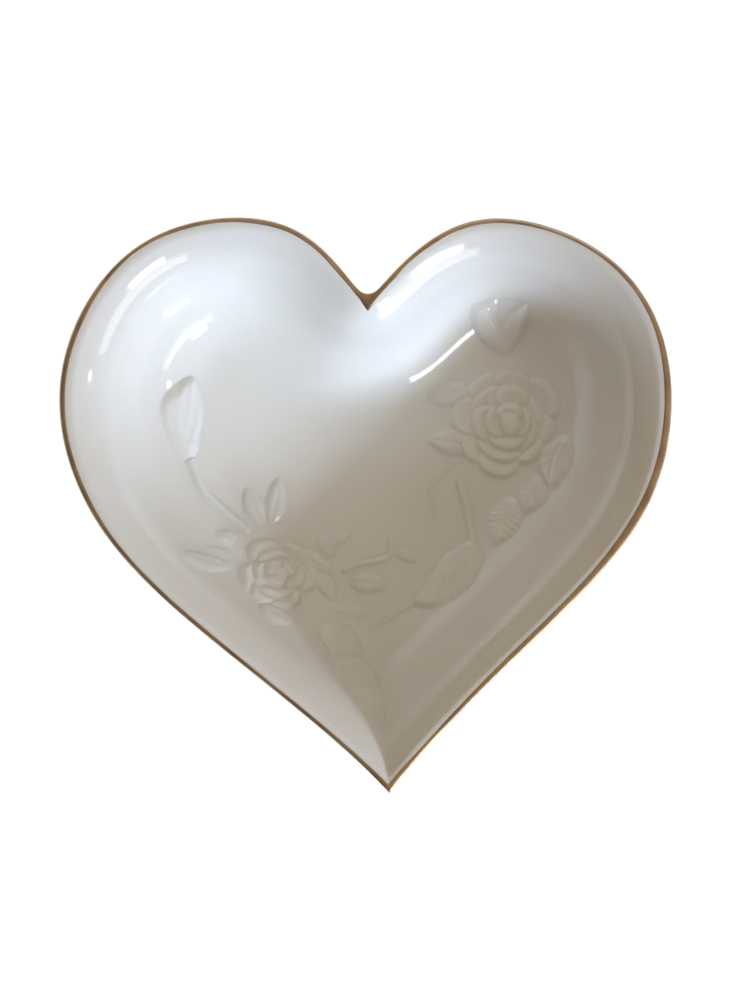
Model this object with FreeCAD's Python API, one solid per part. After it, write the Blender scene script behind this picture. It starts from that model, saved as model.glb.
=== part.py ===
"""Heart-shaped porcelain trinket dish with a gilt lip and two raised rose sprays.

Frame, in millimetres: +Z up, +Y towards the cleft of the heart, +X to the right when the dish
is read with its point towards the reader. The foot stands on Z = 0, and the origin is at the
middle of the dish's own box, seen from above.

The dish is one family of heart outlines. RIM is the outline of the lip and FLOOR the outline a
distance WALL_RUN inside it, each half running from the cleft to the point. A place on the dish's
section is (inset, height): how far in from the rim, and how far above the table.
"""
import FreeCAD, Part
import math
import os
from FreeCAD import Vector

# Driving dimensions
WALL_RUN = 21.0
FLOOR_TOP = 5.3
RECESS = 2.2
LEAF_RELIEF = 0.8
STEM_RELIEF = 0.7
BUD_RELIEF = 1.4
ROSE_RELIEFS = (0.8, 1.2, 1.6)
SEW_GAP = 1e-4
PRISM_TOP = 40.0

# Control points of the outlines, from the cleft to the point
RIM = {
    "right": [(0.5, 44.0), (1.5, 44.0), (2.6, 44.8), (9.5, 53.0), (24.5, 62.5), (51.5, 54.5),
              (65.5, 33.5), (63.0, 0.5), (41.5, -22.5), (13.5, -48.5), (5.0, -60.0)],
    "left": [(0.5, 44.0), (-0.5, 44.0), (-1.6, 44.8), (-10.0, 56.0), (-24.0, 61.5), (-50.5, 56.5),
             (-67.0, 28.0), (-60.0, -1.5), (-39.5, -23.5), (-5.0, -49.0), (5.0, -60.0)],
}
FLOOR = {
    "right": [(0.5, 24.0), (7.5, 24.0), (14.5, 28.0), (20.5, 34.0), (28.0, 38.0), (36.5, 35.5),
              (40.5, 26.0), (39.0, 9.0), (27.5, -6.0), (11.0, -22.5), (3.0, -31.0)],
    "left": [(0.5, 24.0), (-6.5, 24.0), (-13.5, 28.0), (-19.5, 34.0), (-27.0, 38.0), (-35.5, 35.5),
             (-40.0, 25.0), (-38.0, 8.0), (-26.0, -7.0), (-4.0, -24.0), (3.0, -31.0)],
}
HALVES = ("right", "left")

# Section of the dish as (inset, height) control points, from the foot out and over the lip
FOOT_OUTSIDE = [(20.9, 0.0), (19.9, 0.0), (19.7, 1.2), (19.6, 2.0)]
OUTER_WALL = [(19.6, 2.0), (18.2, 2.1), (14.9, 4.4), (11.5, 10.4), (8.9, 17.0), (6.2, 23.0),
              (3.0, 27.0), (1.1, 28.9)]
LIP = [(1.1, 28.9), (0.4, 29.6), (0.0, 30.5), (0.9, 31.15), (1.9, 31.0), (2.6, 30.8)]
GILDING = [(1.1, 28.9), (0.15, 29.5), (-0.35, 30.6), (0.8, 31.5), (2.0, 31.2), (2.6, 30.8)]
INNER_WALL = [(2.6, 30.8), (4.2, 29.8), (7.8, 27.4), (10.4, 20.6), (13.6, 13.4), (18.0, 8.6),
              (22.6, 5.9), (25.4, FLOOR_TOP), (27.5, FLOOR_TOP)]
FOOT_INSIDE = [(22.2, 0.0), (23.2, 0.0), (23.4, 1.2), (23.5, RECESS)]

# Raised leaves: base, tip, width, and how far the leaf bows to the left of base-to-tip
LEAVES = {
    "leaf_right_upper": [((22.5, 25.2), (12.6, 22.2), 5.8, 0.4)],
    "leaf_right_lower": [((22.5, 12.4), (12.6, 13.9), 6.6, -0.3)],
    "leaf_right_outer": [((42.4, 14.8), (39.3, 2.7), 8.0, -1.0)],
    "leaf_right_middle": [((37.0, 6.4), (33.4, -2.2), 6.6, 0.3)],
    "leaf_right_serrated": [((31.4, 1.6), (26.9, -8.8), 7.2, 0.3)],
    "leaf_left_lobed": [((-21.5, -4.0), (-25.4, 4.2), 5.0, 0.5), ((-20.4, -4.2), (-18.6, 6.4), 5.2, -0.5)],
    "leaf_left_small": [((-26.6, -7.6), (-32.4, -5.8), 3.8, 0.0)],
    "leaf_left_long": [((-27.4, -13.2), (-39.6, -9.2), 4.2, 0.6), ((-26.8, -11.2), (-35.8, -8.6), 2.6, -0.2)],
    "leaf_below_rose": [((-22.8, -20.4), (-14.0, -25.0), 4.2, -0.4)],
    "leaf_below_small": [((-12.4, -27.0), (-7.2, -32.4), 3.4, 0.0)],
    "leaf_centre_upper": [((-11.4, -9.4), (-2.4, -6.0), 4.6, 0.3), ((-9.0, -8.0), (-6.2, -11.6), 3.2, 0.0)],
    "leaf_centre_middle": [((-3.6, -16.4), (5.0, -17.0), 5.2, 0.3)],
    "leaf_centre_far": [((5.6, -9.6), (11.8, -12.4), 3.4, 0.3)],
    "leaf_centre_lower": [((-6.4, -21.4), (1.0, -23.6), 4.4, 0.2)],
    "leaf_point_veined": [((-9.4, -25.4), (-0.6, -31.8), 6.6, 0.2)],
    "leaf_point_curled": [((-6.6, -33.2), (3.0, -38.4), 6.0, 0.8)],
}

# Raised stems: centre line and width
STEMS = {
    "stem_right": ([(20.0, 4.8), (21.7, -1.9), (22.7, -7.6)], 1.7),
    "twig_right": ([(18.6, 9.2), (13.9, 3.9), (14.6, 0.4), (14.9, -2.9)], 1.0),
    "twig_point": ([(9.6, -21.0), (5.2, -24.0), (0.6, -26.6)], 0.9),
    "stem_left": ([(-37.1, 8.8), (-34.2, 3.0), (-30.4, -0.7), (-25.3, -4.9)], 1.7),
    "tendril_centre": ([(-4.4, -13.8), (-1.6, -12.4), (2.0, -11.9), (5.0, -10.6), (5.1, -7.0)], 1.2),
}

# The large leaf folded over its midrib, as a closed run of points
FOLDED_LEAF = [(22.7, -7.2), (17.4, -9.8), (13.9, -14.1), (10.0, -20.8), (14.4, -22.0),
               (18.8, -20.2), (22.8, -16.8), (25.1, -11.6)]

# Roses: centre, outer radii along X and Y, and how far the oval is turned
ROSES = {
    "rose_right": ((30.2, 17.4), (11.6, 12.0), 0.0),
    "rose_left": ((-17.8, -14.6), (9.4, 7.8), -18.0),
}
ROSE_TIERS = (1.0, 0.68, 0.36)
ROSE_PETALS = 6
PETAL_DEPTH = 0.06

# Buds as closed runs of points
BUDS = {
    "bud_right": [(29.4, 31.4), (23.6, 35.6), (21.8, 41.2), (25.0, 44.2), (28.4, 44.8), (32.6, 44.2),
                  (34.8, 42.0), (33.4, 35.8)],
    "bud_left": [(-37.4, 8.4), (-41.6, 13.6), (-43.8, 20.2), (-41.6, 24.8), (-36.4, 27.6), (-34.0, 20.8),
                 (-34.8, 13.4)],
}


def station(half, inset, height):
    """Control points of one half of the outline that lies inset from the rim."""
    share = inset / WALL_RUN
    places = []
    for (rim_x, rim_y), (floor_x, floor_y) in zip(RIM[half], FLOOR[half]):
        x = rim_x + share * (floor_x - rim_x)
        y = rim_y + share * (floor_y - rim_y)
        places.append(Vector(x, y, height))
    return places


def knots(count):
    """Clamped, evenly spaced cubic knots and their multiplicities for count control points."""
    values = [float(i) for i in range(count - 2)]
    mults = [4] + [1] * (count - 4) + [4]
    return values, mults


def skin(half, section, lift=0.0):
    """Face swept by the section round one half of the heart."""
    poles = [station(half, inset, height + lift) for inset, height in section]
    along, along_mults = knots(len(section))
    around, around_mults = knots(len(poles[0]))
    surface = Part.BSplineSurface()
    surface.buildFromPolesMultsKnots(poles, along_mults, around_mults, along, around, False, False, 3, 3)
    return surface.toShape()


def outline_edges(inset, height):
    """The two half outlines at one place of the section, as edges."""
    edges = []
    for half in HALVES:
        poles = station(half, inset, height)
        values, mults = knots(len(poles))
        curve = Part.BSplineCurve()
        curve.buildFromPolesMultsKnots(poles, mults, values, False, 3)
        edges.append(curve.toShape())
    return edges


def level_face(inset, height):
    """Flat heart at one height, bounded by the outline at that inset."""
    return Part.Face(Part.Wire(outline_edges(inset, height)))


def solid_of(faces):
    """Closed solid from faces that meet edge to edge."""
    shell = Part.makeShell(faces)
    shell.sewShape(SEW_GAP)
    solid = Part.Solid(shell.Shells[0])
    if solid.Volume < 0:
        solid.reverse()
    return solid


def skins(section, lift=0.0):
    return [skin(half, section, lift) for half in HALVES]


def dish_body():
    """Porcelain shell: foot ring, flared wall, rolled lip, inner wall and flat floor."""
    faces = []
    for section in (FOOT_OUTSIDE, OUTER_WALL, LIP, INNER_WALL, FOOT_INSIDE):
        faces += skins(section)
    faces.append(level_face(*INNER_WALL[-1]))
    faces.append(level_face(*FOOT_INSIDE[-1]))
    bearing_outside = level_face(*FOOT_OUTSIDE[0])
    faces.append(bearing_outside.cut(level_face(*FOOT_INSIDE[0])).Faces[0])
    return solid_of(faces)


def gold_rim():
    """Gilt band: a thin skin over the lip that feathers out at both edges."""
    return solid_of(skins(LIP) + skins(GILDING))


def relief_layer(thickness):
    """Layer of even height that lies on the inner wall and floor."""
    inset, height = INNER_WALL[0]
    faces = skins(INNER_WALL) + skins(INNER_WALL, thickness)
    faces.append(level_face(*INNER_WALL[-1]))
    faces.append(level_face(INNER_WALL[-1][0], INNER_WALL[-1][1] + thickness))
    faces += [edge.extrude(Vector(0, 0, thickness)) for edge in outline_edges(inset, height)]
    return solid_of(faces)


def smooth_face(points):
    """Flat face inside a closed curve that runs smoothly through the points."""
    curve = Part.BSplineCurve()
    curve.interpolate([Vector(x, y, 0) for x, y in points], PeriodicFlag=True)
    return Part.Face(Part.Wire([curve.toShape()]))


def curve_edge(points):
    """Edge that runs smoothly through the points."""
    curve = Part.BSplineCurve()
    curve.interpolate(points)
    return curve.toShape()


def leaf_face(base, tip, width, bow):
    """Flat pointed leaf from base to tip."""
    start = Vector(base[0], base[1], 0)
    end = Vector(tip[0], tip[1], 0)
    middle = (start + end) * 0.5
    run = (end - start).normalize()
    across = Vector(-run.y, run.x, 0)
    near = curve_edge([start, middle + across * (bow + width / 2), end])
    far = curve_edge([start, middle + across * (bow - width / 2), end])
    return Part.Face(Part.Wire([near, far]))


def stem_face(points, width):
    """Flat ribbon of even width along a smooth centre line."""
    centre = curve_edge([Vector(x, y, 0) for x, y in points])
    sides = {1: [], -1: []}
    steps = 2 * len(points)
    for i in range(steps + 1):
        where = centre.FirstParameter + (centre.LastParameter - centre.FirstParameter) * i / steps
        run = centre.tangentAt(where)
        across = Vector(-run.y, run.x, 0) * (width / 2)
        for side in sides:
            sides[side].append(centre.valueAt(where) + across * side)
    left = curve_edge(sides[1])
    right = curve_edge(sides[-1])
    start_cap = Part.makeLine(sides[1][0], sides[-1][0])
    end_cap = Part.makeLine(sides[1][-1], sides[-1][-1])
    return Part.Face(Part.Wire(Part.__sortEdges__([left, end_cap, right, start_cap])))


def rose_face(centre, radii, turn, share):
    """Flat scalloped oval, share of the rose's full size."""
    points = []
    steps = ROSE_PETALS * 4
    tilt = math.radians(turn)
    for i in range(steps):
        angle = 2 * math.pi * i / steps
        reach = share * (1 + PETAL_DEPTH * math.cos(ROSE_PETALS * angle))
        x = radii[0] * reach * math.cos(angle)
        y = radii[1] * reach * math.sin(angle)
        points.append((centre[0] + x * math.cos(tilt) - y * math.sin(tilt),
                       centre[1] + x * math.sin(tilt) + y * math.cos(tilt)))
    return smooth_face(points)


def biggest(shape, kind):
    """Largest solid or face in a shape that a cut may have split."""
    pieces = getattr(shape, kind)
    measure = "Volume" if kind == "Solids" else "Area"
    return max(pieces, key=lambda piece: getattr(piece, measure))


def raised(face, layer):
    """Solid that a flat face cuts out of a relief layer."""
    prism = face.extrude(Vector(0, 0, PRISM_TOP))
    return biggest(prism.common(layer), "Solids")


def joined(shapes):
    """One shape from shapes that overlap or touch."""
    whole = shapes[0]
    for other in shapes[1:]:
        whole = whole.fuse(other)
    return whole.removeSplitter()


def rose(name):
    """Rose in three tiers, each narrower and higher than the one around it."""
    centre, radii, turn = ROSES[name]
    tiers = [rose_face(centre, radii, turn, share) for share in ROSE_TIERS]
    rings = [tiers[0].cut(tiers[1]), tiers[1].cut(tiers[2]), tiers[2]]
    parts = [raised(ring.Faces[0], relief_layer(rise)) for ring, rise in zip(rings, ROSE_RELIEFS)]
    return tiers[0], biggest(joined(parts), "Solids")


def sprigs():
    """Every raised motif by name. Roses and buds lie on top, so leaves and stems stop at them."""
    made = {}
    taken = []
    for name in ROSES:
        face, made[name] = rose(name)
        taken.append(face)
    flat = [(name, smooth_face(points), BUD_RELIEF) for name, points in BUDS.items()]
    flat.append(("leaf_folded", smooth_face(FOLDED_LEAF), LEAF_RELIEF))
    for name, lobes in LEAVES.items():
        flat.append((name, joined([leaf_face(*lobe) for lobe in lobes]), LEAF_RELIEF))
    for name, (points, width) in STEMS.items():
        flat.append((name, stem_face(points, width), STEM_RELIEF))
    layers = {rise: relief_layer(rise) for rise in (LEAF_RELIEF, STEM_RELIEF, BUD_RELIEF)}
    for name, face, rise in flat:
        free = biggest(face.cut(taken), "Faces")
        made[name] = raised(free, layers[rise])
        taken.append(free)
    return made


def build():
    nodes = {"dish_body": dish_body(), "gold_rim": gold_rim()}
    nodes.update(sprigs())
    box = nodes["gold_rim"].optimalBoundingBox(False, False)
    shift = Vector(-box.Center.x, -box.Center.y, 0)
    os.makedirs("parts", exist_ok=True)
    for name, shape in nodes.items():
        shape.translate(shift)
        shape.exportStep("parts/" + name + ".step")


build()
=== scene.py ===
"""Heart-shaped porcelain trinket dish: the looks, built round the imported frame.

Outlines and motifs are worked out in millimetres in the dish's own plan, and to_frame() carries
them to the frame in metres. A place on the section is (inset from the rim, height).
"""
import bmesh
import bpy
import math
import mathutils
import numpy as np
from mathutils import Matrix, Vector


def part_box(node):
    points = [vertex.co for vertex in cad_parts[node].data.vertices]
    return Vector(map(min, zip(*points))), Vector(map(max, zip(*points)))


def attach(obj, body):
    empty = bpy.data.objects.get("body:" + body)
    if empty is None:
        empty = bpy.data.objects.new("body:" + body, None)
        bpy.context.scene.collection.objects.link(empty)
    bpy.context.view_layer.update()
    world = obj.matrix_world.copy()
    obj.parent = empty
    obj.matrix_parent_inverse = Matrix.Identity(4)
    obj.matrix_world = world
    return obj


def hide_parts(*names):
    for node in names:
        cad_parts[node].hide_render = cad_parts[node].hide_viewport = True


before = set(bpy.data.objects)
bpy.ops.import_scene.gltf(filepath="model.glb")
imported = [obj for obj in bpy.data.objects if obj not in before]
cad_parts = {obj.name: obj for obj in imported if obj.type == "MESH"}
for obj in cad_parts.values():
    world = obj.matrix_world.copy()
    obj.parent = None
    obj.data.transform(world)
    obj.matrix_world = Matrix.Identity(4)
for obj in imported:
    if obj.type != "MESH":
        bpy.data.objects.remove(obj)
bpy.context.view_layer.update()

# ---------------------------------------------------------------- driving dimensions, mm
MM = 0.001
WALL_RUN = 21.0         # plan distance from the rim's outline to the floor's
FLOOR_TOP = 5.3
RECESS = 2.2            # height of the underside inside the foot ring
AROUND = 300            # steps down each half of the outline
SINK = 0.05             # a motif's edge dips this far under the inner surface
PATCH_DEPTH = 0.45      # a motif reaches this far down into the shell
SPLINE_STEPS = 10

RIM = {
    "right": [(0.5, 44.0), (1.5, 44.0), (2.6, 44.8), (9.5, 53.0), (24.5, 62.5), (51.5, 54.5),
              (65.5, 33.5), (63.0, 0.5), (41.5, -22.5), (13.5, -48.5), (5.0, -60.0)],
    "left": [(0.5, 44.0), (-0.5, 44.0), (-1.6, 44.8), (-10.0, 56.0), (-24.0, 61.5), (-50.5, 56.5),
             (-67.0, 28.0), (-60.0, -1.5), (-39.5, -23.5), (-5.0, -49.0), (5.0, -60.0)],
}
FLOOR = {
    "right": [(0.5, 24.0), (7.5, 24.0), (14.5, 28.0), (20.5, 34.0), (28.0, 38.0), (36.5, 35.5),
              (40.5, 26.0), (39.0, 9.0), (27.5, -6.0), (11.0, -22.5), (3.0, -31.0)],
    "left": [(0.5, 24.0), (-6.5, 24.0), (-13.5, 28.0), (-19.5, 34.0), (-27.0, 38.0), (-35.5, 35.5),
             (-40.0, 25.0), (-38.0, 8.0), (-26.0, -7.0), (-4.0, -24.0), (3.0, -31.0)],
}
FOOT_INSIDE = [(23.5, RECESS), (23.4, 1.2), (23.2, 0.0), (22.2, 0.0)]
FOOT_FACE = [(21.9, 0.0), (21.55, 0.0), (21.2, 0.0)]
FOOT_OUTSIDE = [(20.9, 0.0), (19.9, 0.0), (19.7, 1.2), (19.6, 2.0)]
OUTER_WALL = [(19.6, 2.0), (18.2, 2.1), (14.9, 4.4), (11.5, 10.4), (8.9, 17.0), (6.2, 23.0),
              (3.0, 27.0), (1.1, 28.9)]
LIP = [(1.1, 28.9), (0.4, 29.6), (0.0, 30.5), (0.9, 31.15), (1.9, 31.0), (2.6, 30.8)]
GILDING = [(1.1, 28.9), (0.15, 29.5), (-0.35, 30.6), (0.8, 31.5), (2.0, 31.2), (2.6, 30.8)]
INNER_WALL = [(2.6, 30.8), (4.2, 29.8), (7.8, 27.4), (10.4, 20.6), (13.6, 13.4), (18.0, 8.6),
              (22.6, 5.9), (25.4, FLOOR_TOP), (27.5, FLOOR_TOP)]


# ---------------------------------------------------------------- curves
def basis(count, where):
    """Weights of count clamped cubic control points at each value of where, from 0 to 1."""
    spans = count - 3
    knots = np.concatenate([[0.0] * 3, np.arange(spans + 1.0), [float(spans)] * 3])
    x = np.clip(np.asarray(where, float) * spans, 0, spans - 1e-9)
    level = [((x >= knots[i]) & (x < knots[i + 1])).astype(float) for i in range(count + 3)]
    for degree in range(1, 4):
        rising = []
        for i in range(count + 3 - degree):
            term = np.zeros_like(x)
            left = knots[i + degree] - knots[i]
            right = knots[i + degree + 1] - knots[i + 1]
            if left > 0:
                term += (x - knots[i]) / left * level[i]
            if right > 0:
                term += (knots[i + degree + 1] - x) / right * level[i + 1]
            rising.append(term)
        level = rising
    return np.stack(level, axis=-1)


def curve(points, steps):
    """Points along the clamped cubic B-spline of the control points."""
    points = np.array(points, float)
    return basis(len(points), np.linspace(0, 1, steps)) @ points


def smooth_step(low, high, value):
    t = np.clip((value - low) / (high - low), 0, 1)
    return t * t * (3 - 2 * t)


def plan_at(half, u, inset):
    """Plan position of the outline at parameter u of one half, inset from the rim."""
    rim = np.array(RIM[half])
    floor = np.array(FLOOR[half])
    weights = basis(len(rim), u)
    start = weights @ rim
    run = weights @ (floor - rim)
    return start + run * (np.asarray(inset) / WALL_RUN)[..., None]


INNER_TABLE = curve(INNER_WALL, 1200)
FLAT_INSET = INNER_WALL[-1][0]


def wall_height(inset):
    """Height of the inner surface at an inset from the rim."""
    return np.interp(inset, INNER_TABLE[:, 0], INNER_TABLE[:, 1])


def plan_centre():
    """Middle of the gilt rim's box in plan, which is the frame's origin."""
    u = np.linspace(0, 1, 2001)
    reach = curve(GILDING, 200)[:, 0].min()
    edge = np.vstack([plan_at(half, u, np.full_like(u, reach)) for half in RIM])
    return (edge.min(0) + edge.max(0)) / 2


CENTRE = plan_centre()


def to_frame(points):
    """Frame positions in metres of (x, y, z) points in plan millimetres."""
    low, high = (np.array(corner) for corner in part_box("gold_rim"))
    middle = (low + high) / 2
    shift = np.array([middle[0] - CENTRE[0] * MM, middle[1] - CENTRE[1] * MM, 0.0])
    return points * MM + shift


# ---------------------------------------------------------------- inner surface as a height field
class Well:
    """Finds the inset, and so the height, of the inner surface under any plan position."""

    cell = 1.0

    def __init__(self):
        margin = 2
        u = np.linspace(0, 1, 161)
        inset = np.linspace(1.0, FLAT_INSET, 30)
        grid_u, grid_inset = (a.ravel() for a in np.meshgrid(u, inset))
        places, halves = [], []
        for i, half in enumerate(RIM):
            places.append(plan_at(half, grid_u, grid_inset))
            halves.append(np.full(len(grid_u), i))
        places = np.vstack(places)
        halves = np.concatenate(halves)
        us = np.tile(grid_u, 2)
        insets = np.tile(grid_inset, 2)
        self.low = places.min(0) - margin
        size = np.ceil((places.max(0) + margin - self.low) / self.cell).astype(int)
        xs = self.low[0] + (np.arange(size[0]) + 0.5) * self.cell
        ys = self.low[1] + (np.arange(size[1]) + 0.5) * self.cell
        self.nearest = np.zeros((size[0], size[1]), int)
        for i, x in enumerate(xs):
            far = (places[:, 0] - x) ** 2
            gap = far[None, :] + (places[None, :, 1] - ys[:, None]) ** 2
            self.nearest[i] = gap.argmin(1)
        self.seed_half = halves
        self.seed_u = us
        self.seed_inset = insets

    def inset(self, x, y):
        """Inset from the rim at each plan position, starting from the nearest seed."""
        shape = x.shape
        x = x.ravel()
        y = y.ravel()
        i = np.clip(((x - self.low[0]) / self.cell).astype(int), 0, self.nearest.shape[0] - 1)
        j = np.clip(((y - self.low[1]) / self.cell).astype(int), 0, self.nearest.shape[1] - 1)
        seed = self.nearest[i, j]
        found = self.seed_inset[seed].copy()
        for number, half in enumerate(RIM):
            pick = (self.seed_half[seed] == number) & (found < FLAT_INSET - 0.01)
            if pick.any():
                start_u = self.seed_u[seed][pick]
                found[pick] = self.solve(half, x[pick], y[pick], start_u, found[pick])
        return found.reshape(shape)

    @staticmethod
    def solve(half, x, y, u, inset):
        """Newton steps from a seed to the inset whose plan position is (x, y)."""
        step = 1e-4
        target = np.stack([x, y], -1)
        for _ in range(6):
            here = plan_at(half, u, inset)
            along = (plan_at(half, np.minimum(u + step, 1), inset)
                     - plan_at(half, np.maximum(u - step, 0), inset))
            along /= (np.minimum(u + step, 1) - np.maximum(u - step, 0))[:, None]
            inward = plan_at(half, u, inset + 0.5) - plan_at(half, u, inset - 0.5)
            gap = target - here
            det = along[:, 0] * inward[:, 1] - along[:, 1] * inward[:, 0]
            det = np.where(np.abs(det) < 1e-6, 1e-6, det)
            du = (gap[:, 0] * inward[:, 1] - gap[:, 1] * inward[:, 0]) / det
            di = (along[:, 0] * gap[:, 1] - along[:, 1] * gap[:, 0]) / det
            u = np.clip(u + np.clip(du, -0.05, 0.05), 0, 1)
            inset = np.clip(inset + np.clip(di, -2, 2), 0, FLAT_INSET + 2)
        return inset

    def surface(self, x, y):
        """Points and unit normals of the inner surface."""
        def height(x, y):
            return wall_height(self.inset(x, y))

        step = 0.15
        z = height(x, y)
        slope_x = (height(x + step, y) - height(x - step, y)) / (2 * step)
        slope_y = (height(x, y + step) - height(x, y - step)) / (2 * step)
        normal = np.stack([-slope_x, -slope_y, np.ones_like(z)], -1)
        normal /= np.linalg.norm(normal, axis=-1, keepdims=True)
        return np.stack([x, y, z], -1), normal


WELL = Well()


# ---------------------------------------------------------------- meshes
def make_object(name, points, faces, materials, node):
    """Smooth-shaded piece that rides on the frame's one body and stands for a CAD node."""
    mesh = bpy.data.meshes.new(name)
    mesh.from_pydata(to_frame(np.asarray(points)).tolist(), [], faces)
    mesh.validate()
    form = bmesh.new()
    form.from_mesh(mesh)
    bmesh.ops.recalc_face_normals(form, faces=form.faces)
    form.to_mesh(mesh)
    form.free()
    mesh.update()
    mesh.shade_smooth()
    for material in materials:
        mesh.materials.append(material)
    piece = bpy.data.objects.new(name, mesh)
    bpy.context.scene.collection.objects.link(piece)
    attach(piece, "root")
    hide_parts(node)
    return piece


def heart_loop(inset, height, us):
    """Closed loop of points: down the right half from the cleft, and back up the left half."""
    right = plan_at("right", us, np.full_like(us, inset))
    left = plan_at("left", us[1:-1][::-1], np.full(len(us) - 2, inset))
    loop = np.vstack([right, left])
    return np.column_stack([loop, np.full(len(loop), height)])


def loft_faces(rows, count):
    """Quads between successive closed loops of count points."""
    faces = []
    for row in range(rows - 1):
        a = row * count
        b = a + count
        for i in range(count):
            j = (i + 1) % count
            faces.append((a + i, a + j, b + j, b + i))
    return faces


def cap(loop, spacing, upward):
    """Triangles that fill a flat loop, with evenly spread points inside it.

    Each corner is ("loop", index in the loop) or ("new", index in the extra points)."""
    row_spacing = spacing * 0.87
    edge_margin = spacing * 0.6
    outline = loop[:, :2]
    low = outline.min(0)
    high = outline.max(0)
    y, x = np.meshgrid(np.arange(low[1], high[1], row_spacing),
                       np.arange(low[0], high[0], spacing), indexing="ij")
    x[1::2] += spacing / 2
    inside = polygon_gap(x, y, outline) > edge_margin
    spread = np.stack([x[inside], y[inside]], -1)
    flat = [mathutils.Vector(place) for place in np.vstack([outline, spread]).tolist()]
    edges = [(i, (i + 1) % len(loop)) for i in range(len(loop))]
    found = mathutils.geometry.delaunay_2d_cdt(flat, edges, [], 1, 1e-6)
    verts, faces, origin = found[0], found[2], found[3]
    where, extra = [], []
    for vert, sources in zip(verts, origin):
        if sources and sources[0] < len(loop):
            where.append(("loop", sources[0]))
        else:
            where.append(("new", len(extra)))
            extra.append((vert.x, vert.y, float(loop[0, 2])))
    triangles = []
    for face in faces:
        a, b, c = (verts[i] for i in face)
        area = (b.x - a.x) * (c.y - a.y) - (b.y - a.y) * (c.x - a.x)
        order = face if (area > 0) == upward else face[::-1]
        triangles.append([where[i] for i in order])
    return extra, triangles


def polygon_gap(x, y, loop):
    """Distance to a closed loop, positive inside it."""
    ahead = np.roll(loop, -1, axis=0)
    best = np.full(x.shape, 1e9)
    inside = np.zeros(x.shape, bool)
    for (x0, y0), (x1, y1) in zip(loop, ahead):
        dx, dy = x1 - x0, y1 - y0
        t = np.clip(((x - x0) * dx + (y - y0) * dy) / max(dx * dx + dy * dy, 1e-12), 0, 1)
        best = np.minimum(best, (x - x0 - t * dx) ** 2 + (y - y0 - t * dy) ** 2)
        if y0 != y1:
            inside ^= ((y0 > y) != (y1 > y)) & (x < x0 + (y - y0) / (y1 - y0) * dx)
    return np.where(inside, 1, -1) * np.sqrt(best)


def line_gap(x, y, line):
    """Distance to an open run of points, how far along it the nearest place is (0 to 1), and
    the side: 1 to the left of the run, -1 to its right."""
    best = np.full(x.shape, 1e9)
    along = np.zeros(x.shape)
    side = np.zeros(x.shape)
    count = len(line) - 1
    for i in range(count):
        (x0, y0), (x1, y1) = line[i], line[i + 1]
        dx, dy = x1 - x0, y1 - y0
        t = np.clip(((x - x0) * dx + (y - y0) * dy) / (dx * dx + dy * dy), 0, 1)
        gap = (x - x0 - t * dx) ** 2 + (y - y0 - t * dy) ** 2
        nearer = gap < best
        best = np.where(nearer, gap, best)
        along = np.where(nearer, (i + t) / count, along)
        side = np.where(nearer, np.sign(dx * (y - y0) - dy * (x - x0)), side)
    return np.sqrt(best), along, side


def spline(points, closed=False):
    """Points of a smooth curve through the given points."""
    points = [np.array(p, float) for p in points]
    count = len(points)
    spans = count if closed else count - 1
    made = []
    for i in range(spans):
        b, c = points[i], points[(i + 1) % count]
        a = points[i - 1] if closed or i > 0 else 2 * b - c
        d = points[(i + 2) % count] if closed or i + 2 < count else 2 * c - b
        for k in range(SPLINE_STEPS):
            t = k / SPLINE_STEPS
            made.append(0.5 * (2 * b + (c - a) * t + (2 * a - 5 * b + 4 * c - d) * t ** 2
                               + (3 * b - a - 3 * c + d) * t ** 3))
    if not closed:
        made.append(points[-1])
    return np.array(made)


# ---------------------------------------------------------------- materials
def new_material(name):
    material = bpy.data.materials.new(name)
    material.use_nodes = True
    nodes = material.node_tree.nodes
    return material, nodes, material.node_tree.links, nodes["Principled BSDF"]


def noise(nodes, links, scale, detail):
    texture = nodes.new("ShaderNodeTexNoise")
    texture.inputs["Scale"].default_value = scale
    texture.inputs["Detail"].default_value = detail
    links.new(nodes.new("ShaderNodeTexCoord").outputs["Object"], texture.inputs["Vector"])
    return texture.outputs["Fac"]


def ramp(nodes, links, source, stops):
    """Colour ramp from (position, colour) stops."""
    node = nodes.new("ShaderNodeValToRGB")
    while len(node.color_ramp.elements) < len(stops):
        node.color_ramp.elements.new(0.5)
    for element, (position, colour) in zip(node.color_ramp.elements, stops):
        element.position = position
        element.color = (*colour, 1)
    links.new(source, node.inputs["Fac"])
    return node.outputs["Color"]


def remap(nodes, links, source, low, high, to_low, to_high):
    """Value carried in a straight line from low..high to to_low..to_high."""
    node = nodes.new("ShaderNodeMapRange")
    limits = {"From Min": low, "From Max": high, "To Min": to_low, "To Max": to_high}
    for name, value in limits.items():
        node.inputs[name].default_value = value
    links.new(source, node.inputs["Value"])
    return node.outputs["Result"]


def calculate(nodes, links, operation, a, b):
    """Maths node on a socket and either another socket or a number."""
    node = nodes.new("ShaderNodeMath")
    node.operation = operation
    links.new(a, node.inputs[0])
    if isinstance(b, float):
        node.inputs[1].default_value = b
    else:
        links.new(b, node.inputs[1])
    return node.outputs[0]


def mix(nodes, links, factor, a, b, mode="MIX"):
    """Colours a and b blended; the factor is a number or a socket, a colour a tuple or a socket."""
    node = nodes.new("ShaderNodeMix")
    node.data_type = "RGBA"
    node.blend_type = mode
    if isinstance(factor, float):
        node.inputs["Factor"].default_value = factor
    else:
        links.new(factor, node.inputs["Factor"])
    for name, value in (("A", a), ("B", b)):
        socket = [s for s in node.inputs if s.name == name and s.type == "RGBA"][0]
        if isinstance(value, tuple):
            socket.default_value = (*value, 1)
        else:
            links.new(value, socket)
    return [s for s in node.outputs if s.type == "RGBA"][0]


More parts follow.
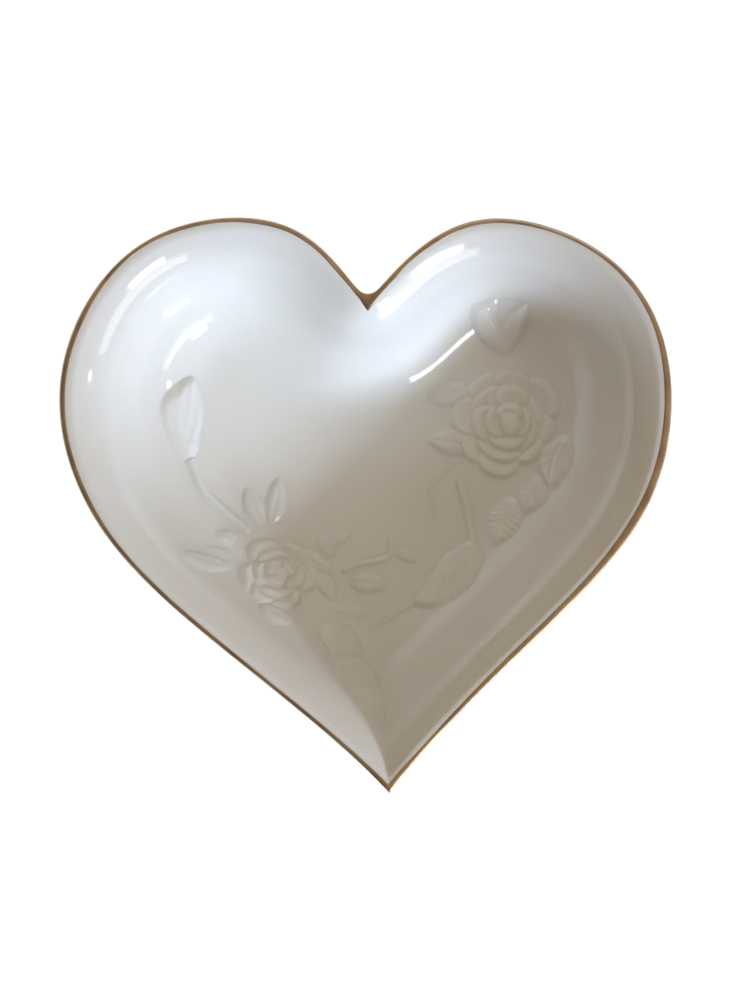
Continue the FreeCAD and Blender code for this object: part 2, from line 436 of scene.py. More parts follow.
def add_bump(nodes, links, source, strength, distance, normal=None):
    bump = nodes.new("ShaderNodeBump")
    bump.inputs["Strength"].default_value = strength
    bump.inputs["Distance"].default_value = distance
    links.new(source, bump.inputs["Height"])
    if normal is not None:
        links.new(normal, bump.inputs["Normal"])
    return bump.outputs["Normal"]


def glaze_material():
    """Ivory porcelain under a clear glaze: slow colour drift, fine speckle, soft flow waves."""
    material, nodes, links, shader = new_material("ivory_glaze")
    drift = noise(nodes, links, 28.0, 3.0)
    colour = ramp(nodes, links, drift, [(0.30, (0.800, 0.775, 0.715)),
                                        (0.70, (0.845, 0.825, 0.775))])
    speck = noise(nodes, links, 1500.0, 2.0)
    speck_mask = ramp(nodes, links, speck, [(0.20, (1, 1, 1)), (0.235, (0, 0, 0))])
    colour = mix(nodes, links, speck_mask, colour, (0.60, 0.54, 0.45))
    shader.inputs["Subsurface Weight"].default_value = 0.25
    shader.inputs["Subsurface Radius"].default_value = (1.0, 0.75, 0.45)
    shader.inputs["Subsurface Scale"].default_value = 0.0016
    shader.inputs["IOR"].default_value = 1.5
    shader.inputs["Coat Weight"].default_value = 0.35
    shader.inputs["Coat Roughness"].default_value = 0.02
    smear = noise(nodes, links, 90.0, 4.0)
    links.new(remap(nodes, links, smear, 0.3, 0.7, 0.045, 0.095), shader.inputs["Roughness"])
    links.new(colour, shader.inputs["Base Color"])
    waves = noise(nodes, links, 45.0, 1.0)
    peel = noise(nodes, links, 420.0, 2.0)
    normal = add_bump(nodes, links, waves, 0.35, 0.0006)
    normal = add_bump(nodes, links, peel, 0.12, 0.00006, normal)
    links.new(normal, shader.inputs["Normal"])
    return material


def bisque_material():
    """Bare, ground porcelain on the foot ring's bearing face."""
    material, nodes, links, shader = new_material("bare_bisque")
    grain = noise(nodes, links, 1800.0, 4.0)
    colour = ramp(nodes, links, grain, [(0.3, (0.64, 0.60, 0.53)), (0.7, (0.76, 0.73, 0.67))])
    soil = noise(nodes, links, 120.0, 3.0)
    mask = ramp(nodes, links, soil, [(0.50, (0, 0, 0)), (0.72, (0.5, 0.5, 0.5))])
    links.new(mix(nodes, links, mask, colour, (0.42, 0.37, 0.30)), shader.inputs["Base Color"])
    shader.inputs["Roughness"].default_value = 0.85
    links.new(add_bump(nodes, links, grain, 0.5, 0.00008), shader.inputs["Normal"])
    return material


def gold_material():
    """Fired-on bright gold, brushed on by hand: cloudy brown tones and small worn spots."""
    material, nodes, links, shader = new_material("fired_gold")
    cloud = noise(nodes, links, 130.0, 5.0)
    colour = ramp(nodes, links, cloud, [(0.30, (0.36, 0.25, 0.170)), (0.55, (0.53, 0.385, 0.26)),
                                        (0.80, (0.66, 0.49, 0.32))])
    fine = noise(nodes, links, 900.0, 4.0)
    worn = ramp(nodes, links, fine, [(0.70, (0, 0, 0)), (0.80, (0.7, 0.7, 0.7))])
    colour = mix(nodes, links, worn, colour, (0.28, 0.15, 0.09))
    links.new(colour, shader.inputs["Base Color"])
    shader.inputs["Metallic"].default_value = 1.0
    links.new(remap(nodes, links, fine, 0.3, 0.75, 0.28, 0.42), shader.inputs["Roughness"])
    links.new(add_bump(nodes, links, fine, 0.10, 0.00006), shader.inputs["Normal"])
    return material


GLAZE = glaze_material()
BISQUE = bisque_material()
GOLD = gold_material()


# ---------------------------------------------------------------- the dish
def section_rows():
    """The whole section from the recess under the floor, over the lip, to the floor's edge."""
    return np.vstack([
        curve(FOOT_INSIDE, 9),
        FOOT_FACE,
        curve(FOOT_OUTSIDE, 9),
        curve(OUTER_WALL, 44)[1:],
        curve(LIP, 22)[1:],
        curve(INNER_WALL, 64)[1:],
    ])


def dish():
    """The shell: a loft round the section, closed by a flat cap below and another above."""
    under_spacing, floor_spacing = 3.0, 2.0
    bearing = 0.25 * MM
    us = np.linspace(0, 1, AROUND + 1)
    loops = [heart_loop(inset, height, us) for inset, height in section_rows()]
    count = len(loops[0])
    points = [tuple(p) for loop in loops for p in loop]
    faces = loft_faces(len(loops), count)
    for row, spacing, upward in ((0, under_spacing, False), (len(loops) - 1, floor_spacing, True)):
        start = {"loop": row * count, "new": len(points)}
        extra, triangles = cap(loops[row], spacing, upward)
        points += extra
        faces += [tuple(start[kind] + i for kind, i in triangle) for triangle in triangles]
    piece = make_object("porcelain_dish", points, faces, [GLAZE, BISQUE], "dish_body")
    for face in piece.data.polygons:
        if max(piece.data.vertices[i].co.z for i in face.vertices) < bearing:
            face.material_index = 1


def bell(value, middle, width):
    return np.exp(-((value - middle) / width) ** 2)


def gilt_reach(half, us, rng):
    """How far the band reaches from the crown of the lip, inwards and outwards, in mm."""
    at_cleft = np.exp(-(us / 0.030) ** 1.3)
    near_cleft = bell(us, 0, 0.16)
    at_point = bell(us, 1, 0.02)
    inner = 0.45 * near_cleft + 2.6 * at_cleft + 0.3 * at_point
    outer = 0.90 + 0.30 * near_cleft + 0.2 * at_point
    if half == "right":
        low_right = 0.55 * bell(us, 0.80, 0.16)
        inner = inner + low_right
        outer = outer + 0.5 * low_right - 0.32 * bell(us, 0.42, 0.12)
    free = 1 - np.maximum(at_cleft, at_point)
    inner = inner + 0.20 * smooth_random(rng, len(us), 26) * free
    outer = outer + 0.10 * smooth_random(rng, len(us), 60) * free
    return inner, outer


def gilt_line():
    """Brushed band over the lip. It widens into the cleft and at the point, and its edges waver."""
    across = 17
    crown_lift, edge_sink, root = 0.14, 0.03, 0.12
    path = np.vstack([curve(OUTER_WALL, 44)[30:], curve(LIP, 40)[1:], curve(INNER_WALL, 80)[1:18]])
    length = np.concatenate([[0], np.cumsum(np.hypot(*np.diff(path, axis=0).T))])
    crown = length[np.argmax(path[:, 1])]
    us = np.linspace(0, 1, AROUND * 2 + 1)
    share = np.linspace(0, 1, across)
    lift = crown_lift * (1 - (2 * share - 1) ** 6) - edge_sink
    rng = np.random.default_rng(7)
    top, bottom = [], []
    for half in RIM:
        inner, outer = gilt_reach(half, us, rng)
        along_path = (crown - outer)[:, None] + (inner + outer)[:, None] * share
        inset = np.interp(along_path, length, path[:, 0])
        height = np.interp(along_path, length, path[:, 1])
        place = plan_at(half, np.repeat(us, across), inset.ravel()).reshape(*inset.shape, 2)
        point = np.dstack([place, height])
        normal = strip_normals(point)
        top.append(point + normal * lift[:, None])
        bottom.append(point - normal * root)
    join_seam(top)
    join_seam(bottom)
    ring_top = np.concatenate([top[0], top[1][1:-1][::-1]])
    ring_bottom = np.concatenate([bottom[0], bottom[1][1:-1][::-1]])
    around = len(ring_top)
    points = np.concatenate([ring_top.reshape(-1, 3), ring_bottom.reshape(-1, 3)])
    under = around * across
    faces = []
    for i in range(around):
        a = i * across
        b = (i + 1) % around * across
        for k in range(across - 1):
            faces.append((a + k, b + k, b + k + 1, a + k + 1))
            faces.append((under + a + k, under + a + k + 1, under + b + k + 1, under + b + k))
        faces.append((a, under + a, under + b, b))
        a, b = a + across - 1, b + across - 1
        faces.append((a, b, under + b, under + a))
    make_object("gilt_line", points, faces, [GOLD], "gold_rim")


def smooth_random(rng, count, knots):
    """Wandering values about zero, smooth over count samples."""
    raw = rng.uniform(-1, 1, knots)
    raw[0] = raw[-1] = 0
    weights = basis(knots, np.linspace(0, 1, count))
    return weights @ raw


def strip_normals(point):
    """Outward unit normals of a strip of points, u down the first axis and across the second."""
    along = np.gradient(point, axis=0)
    across = np.gradient(point, axis=1)
    normal = np.cross(across, along)
    normal /= np.linalg.norm(normal, axis=2, keepdims=True)
    flip = normal[point.shape[0] // 2, point.shape[1] // 2, 2] < 0
    return -normal if flip else normal


def join_seam(parts):
    """Makes the two halves share their end rows exactly."""
    for end in (0, -1):
        shared = (parts[0][end] + parts[1][end]) / 2
        parts[0][end] = shared
        parts[1][end] = shared


# ---------------------------------------------------------------- raised motifs, mm
LEAF_SOFTNESS = 0.85        # a leaf's rise is nearly complete this far inside its edge
RIB_DEPTH = 0.20
RIB_WIDTH = 0.30
VEIN_HEIGHT = 0.06
STEM_SOFTNESS = 0.55
PETAL_SQUARENESS = 3.2      # power of a petal's outline: 2 is a plain arc
PETAL_SOFTNESS = 0.80
PETAL_ROLL = 0.08
GROOVE_DEPTH = 0.12         # shadow line that a petal leaves on the one behind it
GLAZE_PASSES = 6
PITCH = 0.2                 # grid spacing of a motif's patch


def pillow(gap, height, soften):
    """Rise of a soft-edged form from the distance inside its outline."""
    return height * (1 - np.exp(-(np.maximum(gap, 0) / soften) ** 2))


def ridge(gap, width):
    """Rounded crest of height 1 along the line where gap is 0."""
    return bell(gap, 0, width)


def leaf_field(base, tip, width, bow, rise, veins=5, teeth=0.0, fold=0.0, crest=0.0):
    """Pointed leaf with a sunk midrib, side veins, and optional teeth, fold and raised middle."""
    base, tip = np.array(base), np.array(tip)
    run = tip - base
    size = np.hypot(*run)
    run = run / size
    across = np.array([-run[1], run[0]])

    def field(x, y):
        along = (x - base[0]) * run[0] + (y - base[1]) * run[1]
        side = (x - base[0]) * across[0] + (y - base[1]) * across[1]
        t = np.clip(along / size, 0, 1)
        side = side - bow * 4 * t * (1 - t)
        half = width / 2 * np.sin(np.pi * t ** 0.85) ** 0.8
        if teeth:
            half = half * (1 + teeth * (np.abs((t * 9) % 1 - 0.5) * 2 - 0.5))
        ends = np.minimum(along, size - along)
        gap = np.minimum((half - np.abs(side)) * 0.85, ends * 0.6)
        crown = crest * ridge(side, width * 0.26) * smooth_step(0.0, 1.2, gap)
        body = pillow(gap, rise, LEAF_SOFTNESS) + crown
        share = np.clip(np.abs(side) / np.maximum(half, 0.2), 0, 1)
        rib = ridge(side, RIB_WIDTH) * smooth_step(0.0, 0.15, t) * (1 - smooth_step(0.85, 1.0, t))
        slant = np.sin(2 * np.pi * (veins * t - share * 1.1))
        vein = VEIN_HEIGHT * slant * smooth_step(0.1, 0.35, share) * smooth_step(0.2, 0.7, gap)
        tilt = fold * np.tanh(side / 0.7) * smooth_step(0.0, 0.8, gap)
        return body + (vein - RIB_DEPTH * rib + tilt) * smooth_step(0.0, 0.5, gap) - SINK
    return field


def stem_field(points, width, rise):
    """Rounded stem along a run of points, thinner towards its end."""
    line = spline(points)

    def field(x, y):
        gap, along, _ = line_gap(x, y, line)
        half = width / 2 * (1.05 - 0.35 * along)
        return pillow(half + 0.25 - gap, rise, STEM_SOFTNESS) - SINK
    return field


def petal_gap(radius, swirl, angle, reach, half_width):
    """Distance inside a petal's edge, which bulges at its middle and tucks in at both ends."""
    def edge(turn):
        return reach * (1 - np.abs(turn / half_width) ** PETAL_SQUARENESS)

    turn = (swirl - angle + np.pi) % (2 * np.pi) - np.pi
    slope = (edge(turn + 0.01) - edge(turn - 0.01)) / 0.02
    return (edge(turn) - radius) / np.sqrt(1 + (slope / radius) ** 2)


def petal_height(gap, top):
    """A petal's rolled edge stands highest, and its face sinks towards the heart of the rose."""
    roll_inset = 0.9
    roll = PETAL_ROLL * ridge(gap - roll_inset, 0.55)
    sag = 0.5 * top * smooth_step(roll_inset, 3.4, gap)
    return pillow(gap, top, PETAL_SOFTNESS) + roll - sag


def rose_field(centre, radii, turn, petals, core):
    """Overlapping crescent petals from the outermost inwards, then the furled heart.

    A petal is (angle, reach as a share of the rose, half width, height), angles in degrees."""
    tilt = math.radians(turn)
    unit = (radii[0] + radii[1]) / 2

    def field(x, y):
        dx = x - centre[0]
        dy = y - centre[1]
        a = (dx * math.cos(tilt) + dy * math.sin(tilt)) / radii[0] * unit
        b = (-dx * math.sin(tilt) + dy * math.cos(tilt)) / radii[1] * unit
        radius = np.maximum(np.hypot(a, b), 0.05)
        swirl = np.arctan2(b, a)
        height = np.full(x.shape, -SINK)
        for angle, reach, half_width, top in petals:
            gap = petal_gap(radius, swirl, math.radians(angle), reach * unit,
                            math.radians(half_width))
            cover = smooth_step(-0.10, 0.35, gap)
            groove = GROOVE_DEPTH * ridge(np.minimum(gap, 0) + 0.25, 0.32)
            groove = groove * smooth_step(0.1, 0.5, height)
            height = (height - groove) * (1 - cover) + petal_height(gap, top) * cover
        bead = core * core - (a - 0.3) ** 2 - (b + 0.2) ** 2
        cover = smooth_step(-2.0, 1.2, bead)
        button = petals[-1][3] - 0.15 + 0.30 * np.sqrt(np.maximum(bead, 0)) / core
        return height * (1 - cover) + button * cover
    return field


def bud_left_field(points):
    """Closed almond bud with long furrows, held in a narrow calyx."""
    loop = spline(points, closed=True)
    top = np.array([-36.4, 27.6])
    foot = np.array([-38.6, 13.2])
    size = np.hypot(*(top - foot))
    run = (top - foot) / size

    def field(x, y):
        gap = polygon_gap(x, y, loop)
        along = ((x - foot[0]) * run[0] + (y - foot[1]) * run[1]) / size
        side = -(x - foot[0]) * run[1] + (y - foot[1]) * run[0]
        bulge = np.sin(np.pi * np.clip(along * 0.94 + 0.03, 0, 1)) ** 0.6
        share = side / (4.8 * bulge + 0.5)
        petals = smooth_step(-0.02, 0.06, along)
        furrow = 0.085 * np.cos(share * 13) * smooth_step(0.3, 1.2, gap) * petals
        lapped = 0.17 * np.tanh((share - 0.1 + 0.25 * along) * 9)
        lapped = lapped * petals * smooth_step(0.2, 1.0, gap)
        calyx = 0.22 * (1 - smooth_step(-0.06, 0.08, along)) * smooth_step(0.1, 0.8, gap)
        taper = 0.45 + 0.55 * smooth_step(-0.36, 0.10, along)
        return (pillow(gap, 1.25, 1.5) + furrow + lapped + calyx) * taper - SINK
    return field


def bud_right_field(points):
    """Opening bud seen from its side: two outer petals meet in a fold over the furled middle."""
    loop = spline(points, closed=True)
    fold = spline([(22.4, 42.6), (25.6, 41.2), (28.1, 38.2), (30.6, 41.0), (34.0, 42.8)])
    foot = (29.3, 31.0)

    def field(x, y):
        gap = polygon_gap(x, y, loop)
        away, _, side = line_gap(x, y, fold)
        opened = smooth_step(-0.35, 0.35, away * side)
        throat = 0.55 * opened * smooth_step(0.0, 0.6, gap)
        lips = 0.30 * ridge(away + 0.15, 0.55) * smooth_step(0.2, 0.9, gap)
        split = 0.22 * ridge(x - 27.6 - 0.12 * (y - 41), 0.35) * opened
        creases = 0.06 * np.cos((np.arctan2(x - foot[0], y - foot[1])) * 16) * (1 - opened)
        creases = creases * smooth_step(0.3, 1.2, gap)
        return pillow(gap, 1.30, 1.3) - throat + lips - split + creases - SINK
    return field


def folded_leaf_field(points, rib):
    """Large leaf bent over its midrib like a low roof, its upper side the flatter."""
    loop = spline(points, closed=True)
    line = spline(rib)

    def field(x, y):
        gap = polygon_gap(x, y, loop)
        away, along, side = line_gap(x, y, line)
        lateral = away * side
        roof = np.where(lateral < 0, ridge(away, 3.4), ridge(away, 2.3))
        vein = 0.045 * np.sin(2 * np.pi * (along * 7 - away * 0.35)) * smooth_step(0.3, 1.0, away)
        inner = smooth_step(0.0, 1.1, gap)
        return pillow(gap, 0.55, LEAF_SOFTNESS) + (0.72 * roof + vein) * inner - SINK
    return field


def glazed_over(rise):
    """Rounds a form off, as glaze does where it pools in the corners."""
    for _ in range(GLAZE_PASSES):
        wide = np.pad(rise, 1, mode="edge")
        rise = (wide[:-2, 1:-1] + wide[2:, 1:-1] + wide[1:-1, :-2] + wide[1:-1, 2:] + 4 * rise) / 8
    return rise


def patch(node, field, low, high, pitch=PITCH):
    """Closed piece: its upper side is the inner surface raised by the field, its edge just sunk."""
    xs = np.arange(low[0], high[0] + pitch, pitch)
    ys = np.arange(low[1], high[1] + pitch, pitch)
    x, y = np.meshgrid(xs, ys, indexing="ij")
    rise = glazed_over(field(x, y))
    shown = rise > -SINK * 0.9
    keep = largest_patch(shown[:-1, :-1] | shown[1:, :-1] | shown[:-1, 1:] | shown[1:, 1:])
    point, normal = WELL.surface(x, y)
    upper = point + normal * rise[..., None]
    lower = point - normal * PATCH_DEPTH
    used = np.zeros(x.shape, bool)
    for i, j in ((0, 0), (1, 0), (0, 1), (1, 1)):
        used[i:i + keep.shape[0], j:j + keep.shape[1]] |= keep
    total = int(used.sum())
    number = np.full(x.shape, -1)
    number[used] = np.arange(total)
    points = np.vstack([upper[used], lower[used]])
    faces = []
    for i, j in zip(*np.nonzero(keep)):
        a, b, c, d = number[i, j], number[i + 1, j], number[i + 1, j + 1], number[i, j + 1]
        faces.append((a, b, c, d))
        faces.append((d + total, c + total, b + total, a + total))
        sides = (((i, j - 1), a, b), ((i + 1, j), b, c), ((i, j + 1), c, d), ((i - 1, j), d, a))
        for (ni, nj), first, second in sides:
            within = 0 <= ni < keep.shape[0] and 0 <= nj < keep.shape[1]
            if not (within and keep[ni, nj]):
                faces.append((second, first, first + total, second + total))
    faces = [tuple(int(v) for v in face) for face in faces]
    make_object(node + "_relief", points, faces, [GLAZE], node)


def largest_patch(keep):
    """Largest connected set of cells, with corners filled where cells only touch diagonally."""
    most_rounds = 8
    keep = keep.copy()
    for _ in range(most_rounds):
        a, b, c, d = keep[:-1, :-1], keep[1:, :-1], keep[:-1, 1:], keep[1:, 1:]
        bad = (a & d & ~b & ~c) | (b & c & ~a & ~d)
        if not bad.any():
            break
        for i, j in zip(*np.nonzero(bad)):
            keep[i:i + 2, j:j + 2] = True
    label = np.zeros(keep.shape, int)
    sizes = {}
    mark = 0
    for start in zip(*np.nonzero(keep)):
        if label[start]:
            continue
        mark += 1
        stack = [start]
        label[start] = mark
        count = 0
        while stack:
            i, j = stack.pop()
            count += 1
            for ni, nj in ((i + 1, j), (i - 1, j), (i, j + 1), (i, j - 1)):
                inside = 0 <= ni < keep.shape[0] and 0 <= nj < keep.shape[1]
                if inside and keep[ni, nj] and not label[ni, nj]:
                    label[ni, nj] = mark
                    stack.append((ni, nj))
        sizes[mark] = count
    return label == max(sizes, key=sizes.get)


def lobes(*fields):
    """Several overlapping forms as one field, the highest showing."""
    def field(x, y):
        return np.maximum.reduce([one(x, y) for one in fields])
    return field


# Each motif below is its CAD node, its field, the corners of its patch, and its pitch if finer.
def rose_motifs():
    """Full-blown roses: outer petals first, each ring inside them smaller and higher."""
    right_petals = [
        (125, 1.00, 50, 0.70), (35, 1.02, 54, 0.74), (-15, 0.84, 50, 0.72), (210, 1.04, 48, 0.72),
        (-105, 1.05, 48, 0.74), (86, 0.99, 44, 0.82), (172, 1.06, 42, 0.80), (-55, 0.86, 46, 0.84),
        (140, 0.76, 84, 1.02), (246, 0.78, 80, 1.02), (22, 0.66, 86, 1.00), (83, 0.70, 62, 1.10),
        (184, 0.70, 66, 1.10), (-45, 0.62, 80, 1.12),
        (262, 0.56, 92, 1.24), (0, 0.45, 100, 1.24), (182, 0.47, 92, 1.30), (88, 0.37, 110, 1.34),
        (300, 0.30, 120, 1.38)]
    left_petals = [
        (140, 1.02, 58, 0.74), (300, 0.98, 56, 0.74), (20, 0.98, 60, 0.74), (215, 0.97, 56, 0.78),
        (80, 0.98, 52, 0.82), (255, 0.95, 46, 0.84),
        (130, 0.72, 90, 1.02), (280, 0.72, 92, 1.04), (15, 0.69, 86, 1.06), (205, 0.68, 70, 1.12),
        (60, 0.48, 100, 1.26), (260, 0.46, 104, 1.28), (160, 0.42, 96, 1.34)]
    left_rose = lobes(
        rose_field((-18.4, -14.6), (8.9, 7.6), -22, left_petals, 1.5),
        leaf_field((-14.6, -9.0), (-6.0, -14.6), 4.6, -0.6, 0.7, veins=0, fold=0.08),
        leaf_field((-11.6, -14.0), (-6.2, -21.4), 4.4, 0.8, 0.7, veins=0, fold=-0.08),
        leaf_field((-13.2, -21.6), (-7.8, -23.6), 3.0, 0.0, 0.6, veins=0))
    return [
        ("rose_right", rose_field((30.4, 17.6), (11.8, 11.8), 0, right_petals, 1.8),
         (15.5, 2.5), (45.0, 32.5), 0.19),
        ("rose_left", left_rose, (-30.0, -26.5), (-4.0, -3.5), 0.17),
    ]


def bud_motifs():
    right_outline = [(29.4, 31.4), (23.6, 35.6), (21.8, 41.2), (25.0, 44.2),
                     (28.4, 44.8), (32.6, 44.2), (34.8, 42.0), (33.4, 35.8)]
    left_outline = [(-37.4, 8.4), (-41.6, 13.6), (-43.8, 20.2), (-41.6, 24.8),
                    (-36.4, 27.6), (-34.0, 20.8), (-34.8, 13.4)]
    return [
        ("bud_right", bud_right_field(right_outline), (19.5, 28.5), (37.5, 47.5)),
        ("bud_left", bud_left_field(left_outline), (-46.5, 6.0), (-31.5, 30.0)),
    ]


def right_leaf_motifs():
    leaf = leaf_field
    folded_outline = [(22.7, -7.2), (17.4, -9.8), (13.9, -14.1), (10.0, -20.8),
                      (14.4, -22.0), (18.8, -20.2), (22.8, -16.8), (25.1, -11.6)]
    folded_rib = [(22.9, -7.4), (21.3, -10.5), (18.6, -13.6), (15.4, -15.6), (13.6, -18.4),
                  (10.2, -20.8)]
    return [
        ("leaf_folded", folded_leaf_field(folded_outline, folded_rib), (7.5, -24.5), (27.5, -5.0)),
        ("leaf_right_upper", leaf((22.5, 25.2), (12.6, 22.2), 5.8, 0.4, 0.7), (10, 18), (25, 29)),
        ("leaf_right_lower", leaf((22.5, 12.4), (12.6, 13.9), 6.6, -0.3, 0.75), (10, 8), (25, 19)),
        ("leaf_right_outer", leaf((42.6, 15.0), (39.3, 2.6), 8.0, -1.0, 0.6, crest=0.40),
         (33, 0), (48, 18)),
        ("leaf_right_middle", leaf((37.0, 6.8), (33.4, -2.3), 6.8, 0.3, 0.6, crest=0.40),
         (28, -5), (42, 10)),
        ("leaf_right_serrated",
         leaf((31.4, 2.0), (26.9, -8.9), 7.4, 0.3, 0.6, veins=9, teeth=0.12, crest=0.40),
         (22, -12), (36, 5)),
    ]


def left_leaf_motifs():
    leaf = leaf_field
    lobed = lobes(leaf((-21.5, -4.4), (-25.6, 4.4), 5.2, 0.5, 0.65, veins=4),
                  leaf((-20.4, -4.6), (-18.4, 6.8), 5.4, -0.5, 0.7, veins=4))
    long = lobes(leaf((-27.4, -13.2), (-39.8, -9.2), 4.4, 0.6, 0.65, veins=6),
                 leaf((-26.8, -11.2), (-36.0, -8.6), 2.8, -0.2, 0.55, veins=5))
    return [
        ("leaf_left_lobed", lobed, (-30, -7), (-13, 9)),
        ("leaf_left_small", leaf((-26.6, -7.6), (-32.6, -5.8), 4.0, 0.0, 0.6, veins=3),
         (-35, -11), (-24, -3)),
        ("leaf_left_long", long, (-42, -17), (-24, -5)),
        ("leaf_below_rose", leaf((-22.8, -20.4), (-13.8, -25.2), 4.4, -0.4, 0.65, veins=4),
         (-26, -29), (-11, -17)),
        ("leaf_below_small", leaf((-12.4, -26.8), (-7.0, -32.6), 3.6, 0.0, 0.55, veins=3),
         (-15, -35), (-4, -24)),
    ]


def centre_leaf_motifs():
    """Faint leaves between the sprays and down to the point of the heart."""
    leaf = leaf_field
    upper = lobes(leaf((-11.4, -9.4), (-2.2, -5.8), 4.8, 0.3, 0.55, veins=4),
                  leaf((-9.0, -8.0), (-6.0, -11.8), 3.4, 0.0, 0.5, veins=3))
    return [
        ("leaf_centre_upper", upper, (-14, -14), (0, -2)),
        ("leaf_centre_middle", leaf((-3.8, -16.4), (5.2, -17.2), 5.4, 0.3, 0.6, veins=4),
         (-6, -21), (8, -12)),
        ("leaf_centre_far", leaf((5.4, -9.4), (12.0, -12.6), 3.6, 0.3, 0.5, veins=3),
         (3, -16), (14, -6)),
        ("leaf_centre_lower", leaf((-6.6, -21.4), (1.2, -23.8), 4.6, 0.2, 0.55, veins=4),
         (-9, -27), (4, -18)),
        ("leaf_point_veined", leaf((-9.6, -25.2), (-0.4, -32.0), 6.8, 0.2, 0.65, veins=7, teeth=0.1),
         (-13, -35), (3, -21)),
        ("leaf_point_curled", leaf((-6.8, -33.2), (3.2, -38.6), 6.2, 0.8, 0.65, veins=5, fold=0.12),
         (-10, -42), (6, -29)),
    ]


def stem_motifs():
    """Stems and twigs, each from its points, its width and its rise."""
    margin = 2
    stems = {
        "stem_right": ([(20.0, 4.8), (21.7, -1.9), (22.7, -8.2)], 1.9, 0.6),
        "twig_right": ([(18.9, 9.6), (13.9, 3.9), (14.6, 0.4), (14.9, -2.9)], 1.2, 0.42),
        "twig_point": ([(10.2, -20.6), (5.2, -24.0), (0.6, -26.6)], 0.9, 0.35),
        "stem_left": ([(-37.1, 9.4), (-34.2, 3.0), (-30.4, -0.7), (-25.0, -5.2)], 2.0, 0.75),
        "tendril_centre": ([(-4.4, -13.8), (-1.6, -12.4), (2.0, -11.9), (5.0, -10.6), (5.1, -7.0)],
                           1.4, 0.5),
    }
    return [(node, stem_field(points, width, rise),
             np.min(points, axis=0) - margin, np.max(points, axis=0) + margin)
            for node, (points, width, rise) in stems.items()]


dish()
gilt_line()
for group in (rose_motifs, bud_motifs, right_leaf_motifs, left_leaf_motifs, centre_leaf_motifs,
              stem_motifs):
    for motif in group():
        patch(*motif)


# ---------------------------------------------------------------- stage, camera and light
def stage_floor():
    """Wide pale table. Camera and mirror rays see it near white, but it still takes a shadow."""
    size = 3.0
    glow = 0.86
    below_foot = 0.0002
    mesh = bpy.data.meshes.new("floor")
    corners = [(-size, -size, 0), (size, -size, 0), (size, size, 0), (-size, size, 0)]
    mesh.from_pydata(corners, [], [(0, 1, 2, 3)])
    material, nodes, links, shader = new_material("pale_floor")
    shader.inputs["Base Color"].default_value = (0.80, 0.80, 0.80, 1)
    shader.inputs["Roughness"].default_value = 0.9
    shader.inputs["Specular IOR Level"].default_value = 0.0
    rays = nodes.new("ShaderNodeLightPath").outputs
    seen = rays["Is Camera Ray"]
    for other in ("Is Glossy Ray", "Is Transmission Ray"):
        seen = calculate(nodes, links, "MAXIMUM", seen, rays[other])
    shader.inputs["Emission Color"].default_value = (1.0, 1.0, 1.0, 1)
    links.new(calculate(nodes, links, "MULTIPLY", seen, glow), shader.inputs["Emission Strength"])
    mesh.materials.append(material)
    floor = bpy.data.objects.new("floor", mesh)
    floor.location.z = -below_foot
    bpy.context.scene.collection.objects.link(floor)


def aim_lamp(name, data, azimuth, elevation, distance, target):
    """Lamp that points at its target from a distance. Azimuth runs anticlockwise from +X."""
    a, e = math.radians(azimuth), math.radians(elevation)
    way = mathutils.Vector((math.cos(e) * math.cos(a), math.cos(e) * math.sin(a), math.sin(e)))
    lamp = bpy.data.objects.new(name, data)
    lamp.location = mathutils.Vector(target) + way * distance
    lamp.rotation_euler = way.to_track_quat("Z", "Y").to_euler()
    bpy.context.scene.collection.objects.link(lamp)
    return lamp


def add_light(name, azimuth, elevation, distance, size, power, colour, diffuse=True, glossy=True):
    """Rectangular area light aimed at the middle of the dish."""
    middle = (0, 0, 0.012)
    data = bpy.data.lights.new(name, "AREA")
    data.shape = "RECTANGLE"
    data.size, data.size_y = size
    data.energy = power
    data.color = colour
    lamp = aim_lamp(name, data, azimuth, elevation, distance, middle)
    lamp.visible_diffuse = diffuse
    lamp.visible_glossy = glossy


def add_spot(name, azimuth, elevation, distance, cone, power, colour, target):
    """Soft-edged spot with no mirror image of its own; its cone is in degrees."""
    data = bpy.data.lights.new(name, "SPOT")
    data.spot_size = math.radians(cone)
    data.spot_blend = 1.0
    data.shadow_soft_size = 0.015
    data.energy = power
    data.color = colour
    lamp = aim_lamp(name, data, azimuth, elevation, distance, target)
    lamp.visible_glossy = False


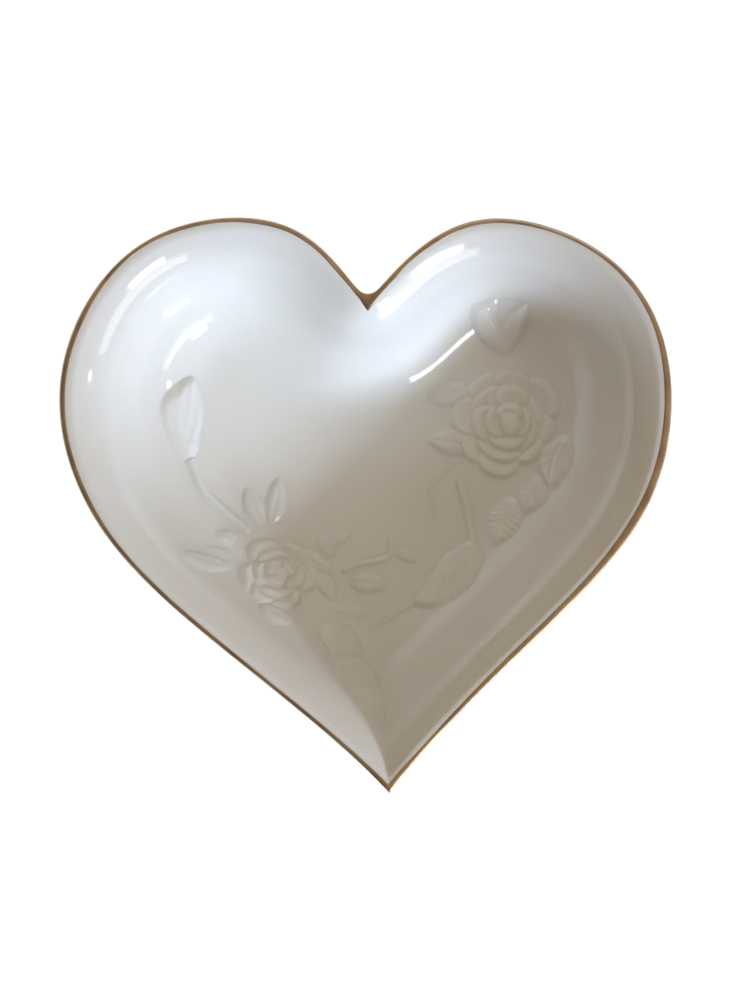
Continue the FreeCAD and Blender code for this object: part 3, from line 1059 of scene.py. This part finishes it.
def stage_world():
    """Dim warm room, lighter overhead and darker towards the lower left."""
    brighter_side = (0.8, 0.6, 0.0)
    world = bpy.data.worlds.new("room")
    bpy.context.scene.world = world
    world.use_nodes = True
    nodes = world.node_tree.nodes
    links = world.node_tree.links
    background = nodes["Background"]
    split = nodes.new("ShaderNodeSeparateXYZ")
    towards = nodes.new("ShaderNodeTexCoord").outputs["Generated"]
    links.new(towards, split.inputs["Vector"])
    height = remap(nodes, links, split.outputs["Z"], 0.0, 0.6, 0.0, 1.0)
    sky = ramp(nodes, links, height, [(0.0, (0.22, 0.18, 0.14)), (1.0, (0.50, 0.43, 0.335))])
    across = nodes.new("ShaderNodeVectorMath")
    across.operation = "DOT_PRODUCT"
    across.inputs[1].default_value = brighter_side
    links.new(towards, across.inputs[0])
    side = remap(nodes, links, across.outputs["Value"], -0.8, 0.3, 0.0, 1.0)
    left = ramp(nodes, links, side, [(0.0, (0.36, 0.33, 0.29)), (1.0, (1.06, 1.06, 1.06))])
    links.new(mix(nodes, links, 1.0, sky, left, "MULTIPLY"), background.inputs["Color"])
    background.inputs["Strength"].default_value = 1.0


def stage_camera():
    """Looks straight down on the dish, as the photograph does."""
    lens_side = 36.0
    distance = 0.90
    view_height = 0.2065
    off_centre = (0.0019, 0.0012)
    rim_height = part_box("dish_body")[1][2]
    data = bpy.data.cameras.new("camera")
    data.sensor_width = lens_side
    data.lens = lens_side * distance / view_height
    camera = bpy.data.objects.new("camera", data)
    camera.location = (*off_centre, rim_height + distance)
    bpy.context.scene.collection.objects.link(camera)
    bpy.context.scene.camera = camera


stage_floor()
stage_world()
add_light("window", -46, 23.5, 1.2, (1.0, 0.15), 15.9, (0.63, 0.765, 1.0), glossy=False)
add_light("window_pane", -53, 26, 1.0, (0.34, 0.15), 2.0, (0.92, 0.96, 1.0), diffuse=False)
add_light("low_window", -44, 13, 1.2, (1.3, 0.40), 4.4, (1.0, 0.96, 0.87), diffuse=False)
add_light("side_glint", -6, 26, 1.0, (0.05, 0.08), 0.20, (0.95, 0.97, 1.0), diffuse=False)
add_spot("sky_patch", -95, 48, 1.0, 5.0, 13.5, (0.60, 0.78, 1.0), (-0.012, 0.042, 0.012))
stage_camera()
bpy.context.scene.view_settings.view_transform = "Standard"
